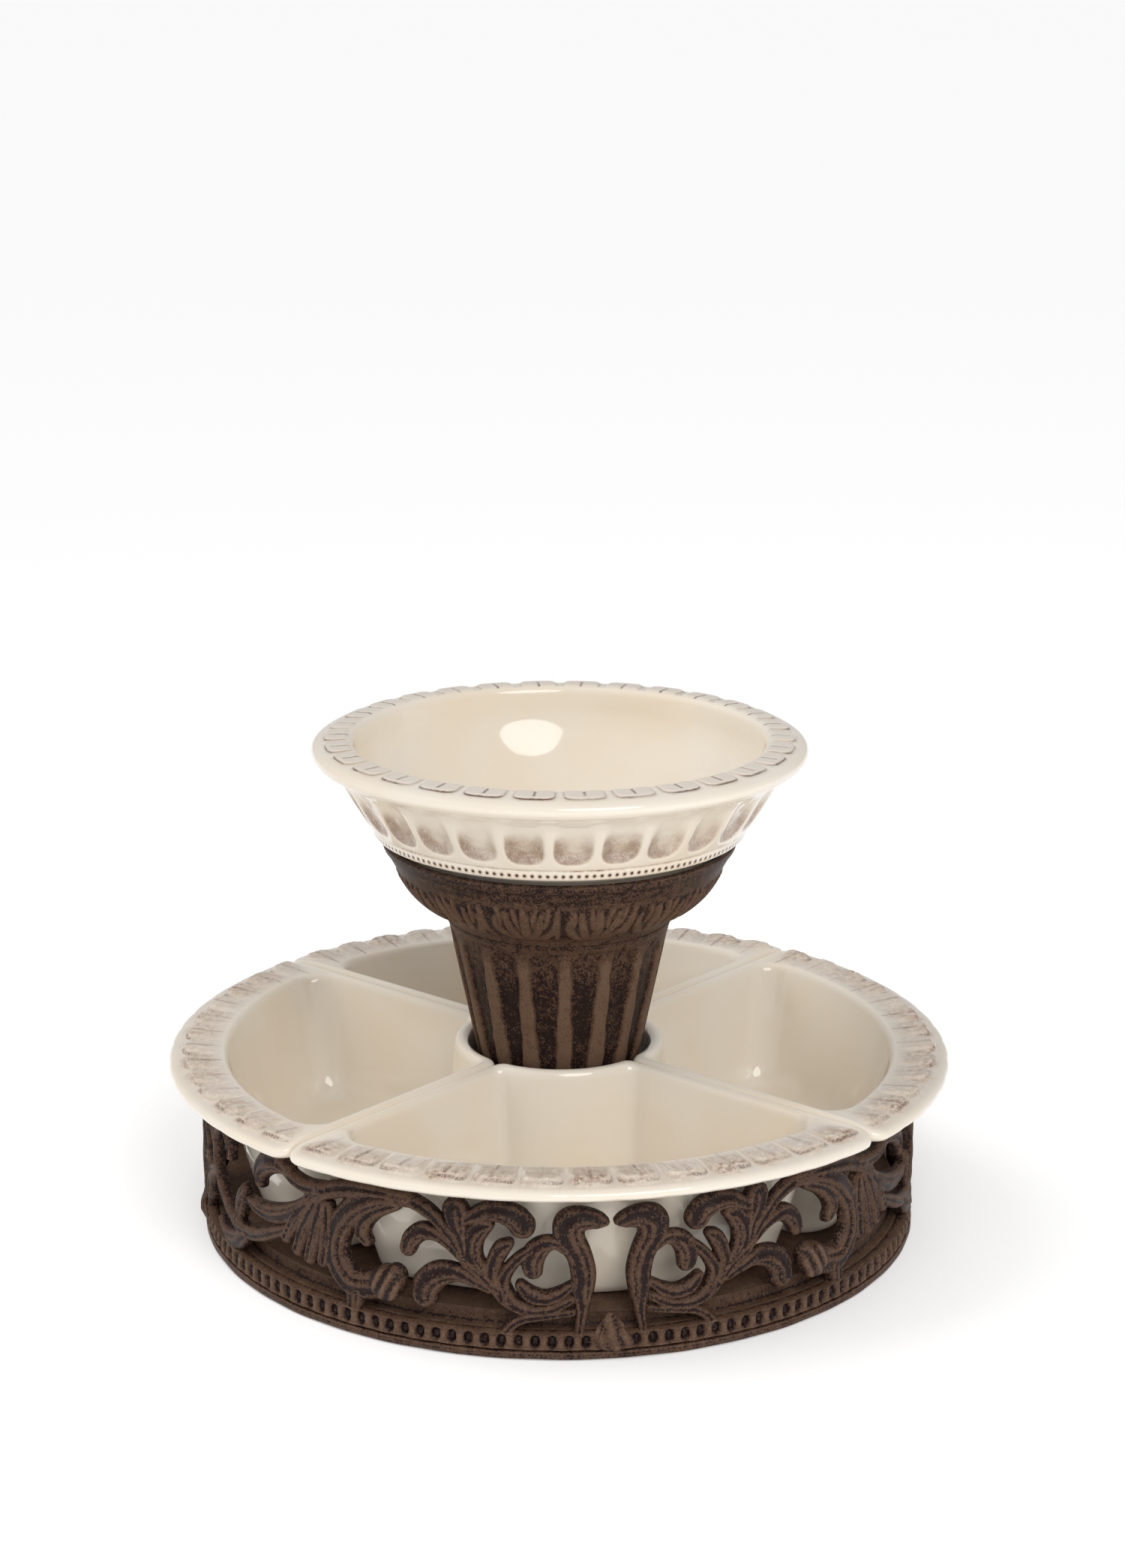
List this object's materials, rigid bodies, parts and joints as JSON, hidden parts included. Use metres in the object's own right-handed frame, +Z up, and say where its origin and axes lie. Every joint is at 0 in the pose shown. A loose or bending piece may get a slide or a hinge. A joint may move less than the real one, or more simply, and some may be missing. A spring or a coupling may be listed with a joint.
{
  "type": "chip and dip server",
  "caption": "Round chip and dip server: glazed quarter dishes in an openwork scrolled cast stand, round a fluted urn pedestal that carries a glazed dip bowl.",
  "frame": {"origin": "on the table, under the middle of the stand", "axes": "+Z up along the pedestal, -Y towards the front seam of the gallery as it is seen from the front, +X to the right"},
  "size_m": [0.456, 0.456, 0.2915],
  "materials": {
    "cream_glaze": "glossy cream glaze with a brown wash in the scalloped rim",
    "cast_metal": "dark brown sponged patina with tan highlights on rough cast metal",
    "plated_steel": "zinc plated",
    "black_rubber": "matt"
  },
  "bodies": {
    "stand": {"base_plate": "cast_metal", "gallery_front_right": "cast_metal", "gallery_front_left": "cast_metal", "gallery_back_left": "cast_metal", "gallery_back_right": "cast_metal", "pedestal_shaft": "cast_metal", "pedestal_cup": "cast_metal", "tie_rod": "plated_steel", "top_washer": "plated_steel", "top_nut": "plated_steel", "bottom_washer": "plated_steel", "bottom_nut": "plated_steel", "foot_front_right": "black_rubber", "foot_back_right": "black_rubber", "foot_back_left": "black_rubber", "foot_front_left": "black_rubber", "bumper_front": "black_rubber", "bumper_right": "black_rubber", "bumper_back": "black_rubber", "bumper_left": "black_rubber"},
    "dip_bowl": {"dip_bowl": "cream_glaze"},
    "dish_front": {"dish_front": "cream_glaze"},
    "dish_right": {"dish_right": "cream_glaze"},
    "dish_back": {"dish_back": "cream_glaze"},
    "dish_left": {"dish_left": "cream_glaze"}
  },
  "joints": [
    {"name": "dip_bowl_lift", "type": "slide", "parent": "stand", "child": "dip_bowl", "axis": [0, 0, 1], "range_m": [0, 0.07]},
    {"name": "dish_front_lift", "type": "slide", "parent": "stand", "child": "dish_front", "axis": [0.0246, -0.3124, 0.9496], "range_m": [0, 0.08]},
    {"name": "dish_right_lift", "type": "slide", "parent": "stand", "child": "dish_right", "axis": [0.3124, 0.0246, 0.9496], "range_m": [0, 0.08]},
    {"name": "dish_back_lift", "type": "slide", "parent": "stand", "child": "dish_back", "axis": [-0.0246, 0.3124, 0.9496], "range_m": [0, 0.08]},
    {"name": "dish_left_lift", "type": "slide", "parent": "stand", "child": "dish_left", "axis": [-0.3124, -0.0246, 0.9496], "range_m": [0, 0.08]}
  ]
}
